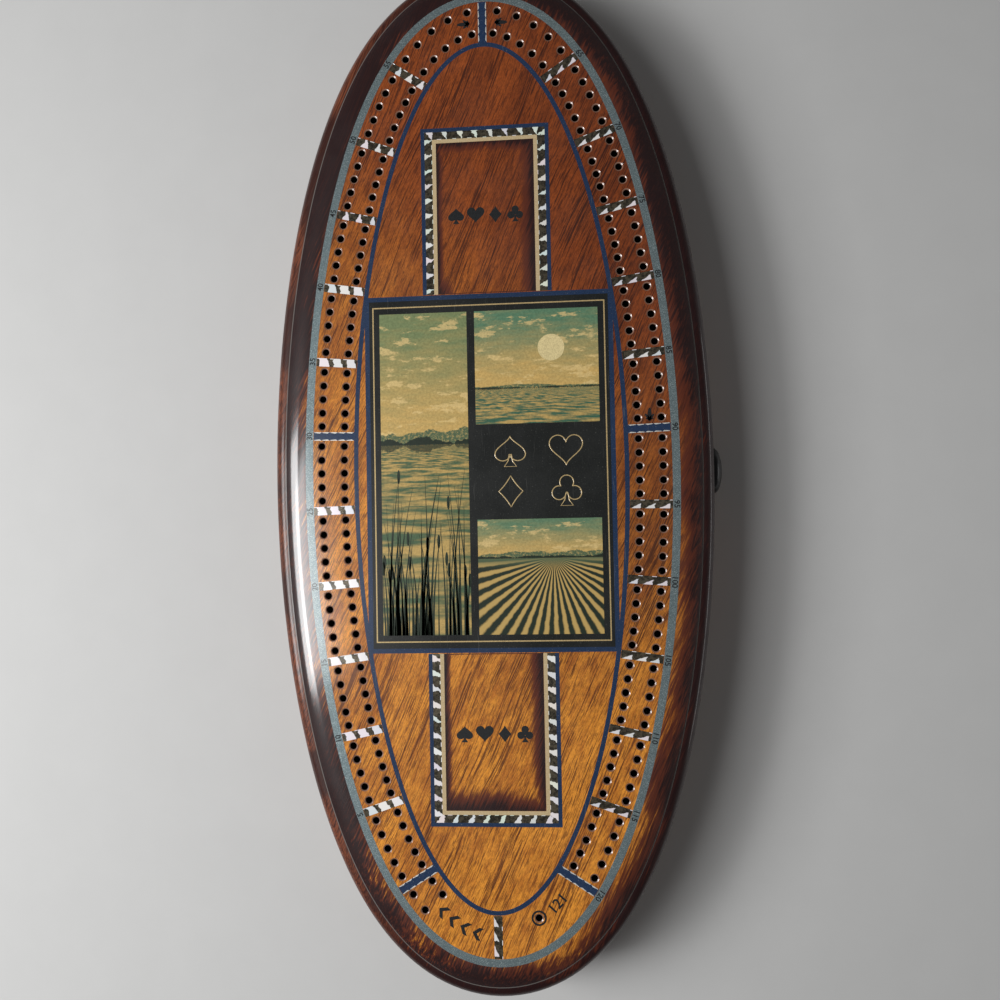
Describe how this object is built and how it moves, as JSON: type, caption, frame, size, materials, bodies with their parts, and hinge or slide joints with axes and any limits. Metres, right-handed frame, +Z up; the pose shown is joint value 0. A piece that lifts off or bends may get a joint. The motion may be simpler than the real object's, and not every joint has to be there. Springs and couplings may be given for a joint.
{
  "type": "cribbage board",
  "caption": "Oval wooden cribbage board with a peg track between inlaid bars, on a lower case with a sliding drawer for cards and pegs.",
  "frame": {"origin": "centre of the felt underside, on the board's two axes of symmetry", "axes": "+X out of the drawer front, +Y towards the end where the track turns half way, +Z up through the face"},
  "size_m": [0.2069, 0.4698, 0.0494],
  "materials": {
    "burnt_wood": "torch-burnt stained wood under a thick gloss coat",
    "case_wood": "stained wood under a gloss coat",
    "drawer_front_wood": "stained wood under a gloss coat",
    "pale_ply": "bare sanded plywood",
    "silver_film": "blue-grey silver printed film under gloss",
    "blue_film": "blue printed film under gloss",
    "prismatic_foil": "faceted mirror foil",
    "cream_film": "cream printed film under gloss",
    "black_film": "black printed plate under gloss",
    "black_paint": "black gloss",
    "zinc_steel": "bright zinc",
    "green_felt": "short felt",
    "peg_maple": "waxed",
    "peg_walnut": "waxed"
  },
  "bodies": {
    "case": {"playing_top": "burnt_wood", "case_block": "case_wood", "case_bottom": "pale_ply", "base_felt": "green_felt", "drawer_stop_strip": "pale_ply", "score_ring": "silver_film", "inner_oval_line": "blue_film", "centre_border": "blue_film", "centre_plate": "black_film", "crib_frame": "blue_film", "deck_frame": "blue_film", "crib_foil": "prismatic_foil", "deck_foil": "prismatic_foil", "crib_trim": "cream_film", "deck_trim": "cream_film", "foil_bar_5": "prismatic_foil", "foil_bar_10": "prismatic_foil", "foil_bar_15": "prismatic_foil", "foil_bar_20": "prismatic_foil", "foil_bar_25": "prismatic_foil", "foil_bar_35": "prismatic_foil", "foil_bar_40": "prismatic_foil", "foil_bar_45": "prismatic_foil", "foil_bar_50": "prismatic_foil", "foil_bar_55": "prismatic_foil", "foil_bar_65": "prismatic_foil", "foil_bar_70": "prismatic_foil", "foil_bar_75": "prismatic_foil", "foil_bar_80": "prismatic_foil", "foil_bar_85": "prismatic_foil", "foil_bar_95": "prismatic_foil", "foil_bar_100": "prismatic_foil", "foil_bar_105": "prismatic_foil", "foil_bar_110": "prismatic_foil", "foil_bar_115": "prismatic_foil", "foil_bar_end": "prismatic_foil", "bottom_screw_1": "zinc_steel", "bottom_screw_2": "zinc_steel", "bottom_screw_3": "zinc_steel", "bottom_screw_4": "zinc_steel", "top_screw_1": "zinc_steel", "top_screw_2": "zinc_steel", "top_screw_3": "zinc_steel", "top_screw_4": "zinc_steel"},
    "drawer": {"drawer_front": "drawer_front_wood", "drawer_side_left": "pale_ply", "drawer_side_right": "pale_ply", "drawer_back": "pale_ply", "drawer_bottom": "pale_ply", "trough_divider": "pale_ply", "card_divider": "pale_ply", "drawer_knob": "black_paint", "knob_screw": "zinc_steel", "light_peg_1": "peg_maple", "light_peg_2": "peg_maple", "light_peg_3": "peg_maple", "dark_peg_1": "peg_walnut", "dark_peg_2": "peg_walnut", "dark_peg_3": "peg_walnut"}
  },
  "joints": [
    {"name": "drawer_slide", "type": "slide", "parent": "case", "child": "drawer", "axis": [1, 0, 0], "range_m": [0, 0.1297]}
  ]
}
